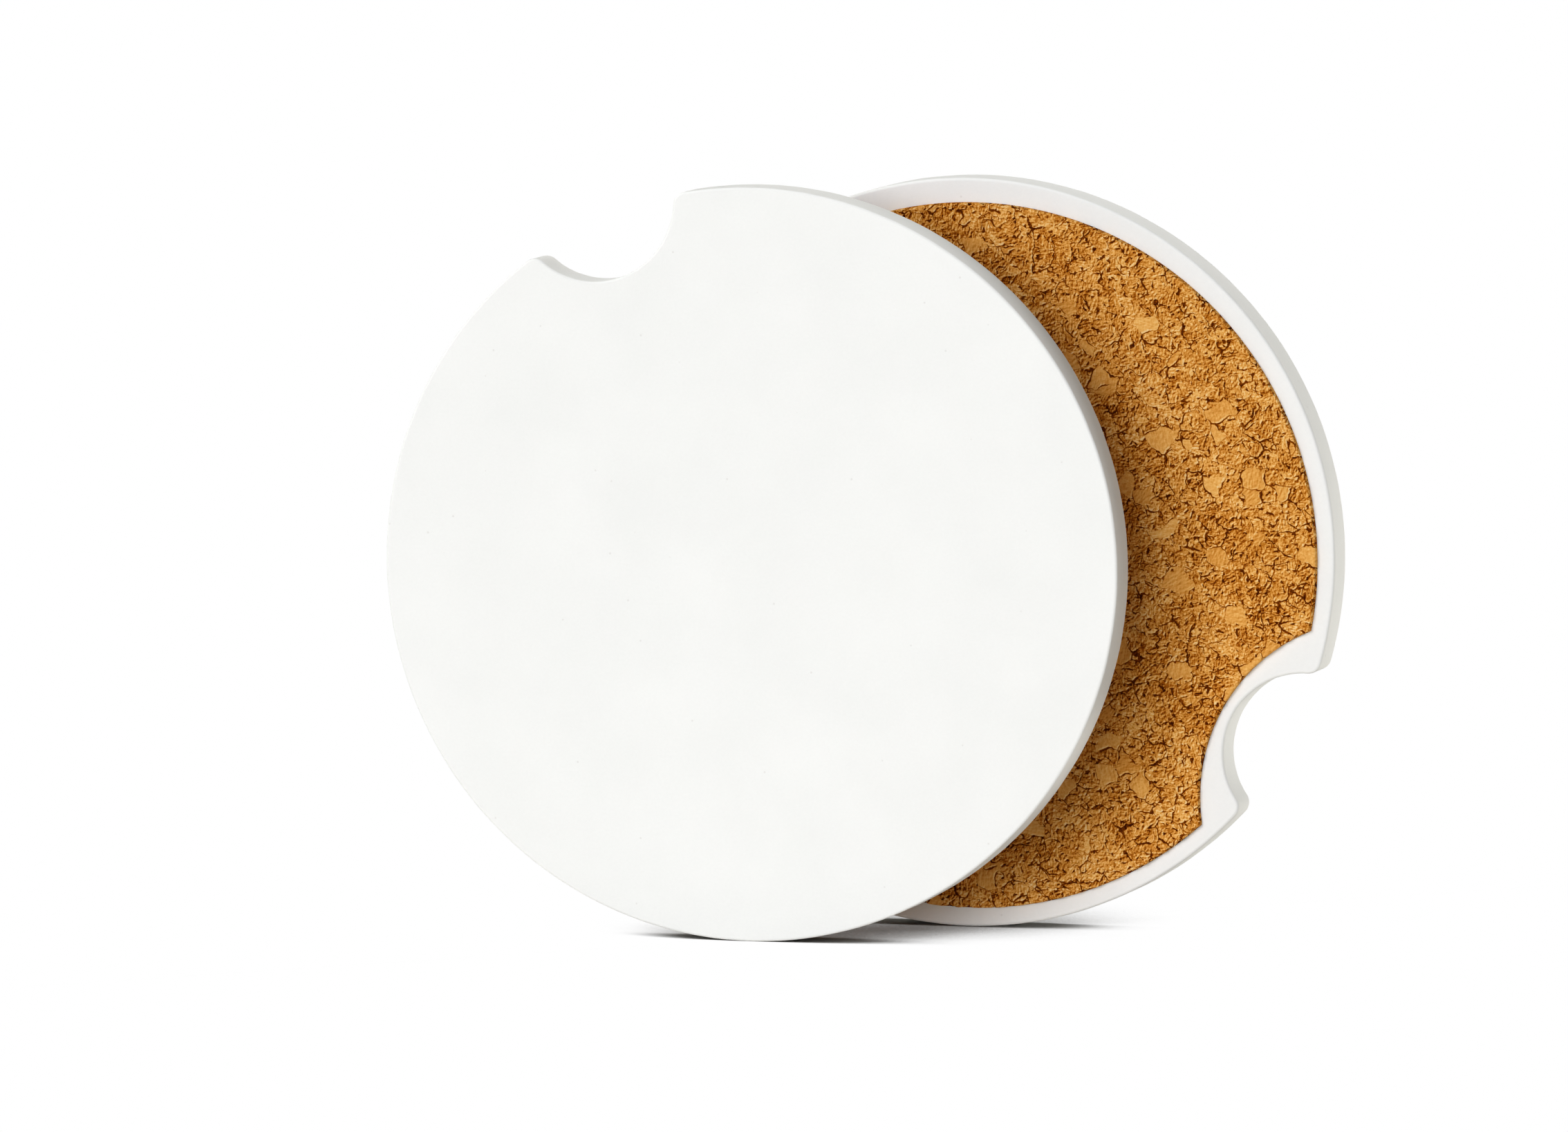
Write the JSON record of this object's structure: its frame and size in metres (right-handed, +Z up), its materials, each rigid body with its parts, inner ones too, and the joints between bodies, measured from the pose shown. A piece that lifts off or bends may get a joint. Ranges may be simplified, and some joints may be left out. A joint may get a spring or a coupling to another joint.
{
  "type": "car coaster",
  "caption": "Round white ceramic car coasters with a finger notch and a glued cork back, standing on edge; each drops into a car's cup holder to catch drips.",
  "frame": {"origin": "on the surface the coasters stand on, under the middle of the pair", "axes": "+Z up; the front coaster's cup face looks along -Y and the rear coaster's along +Y; +X to the right as seen from the front"},
  "size_m": [0.0814, 0.0206, 0.066],
  "materials": {
    "ceramic": "matte",
    "adhesive": "satin",
    "cork": "matte"
  },
  "bodies": {
    "front_coaster": {"front_tile": "ceramic", "front_adhesive_film": "adhesive", "front_cork_pad": "cork"},
    "rear_coaster": {"rear_tile": "ceramic", "rear_adhesive_film": "adhesive", "rear_cork_pad": "cork"}
  },
  "joints": [
    {"name": "rear_coaster_slide", "type": "slide", "parent": "front_coaster", "child": "rear_coaster", "axis": [1, 0, 0], "range_m": [-0.0155, 0.055]}
  ]
}
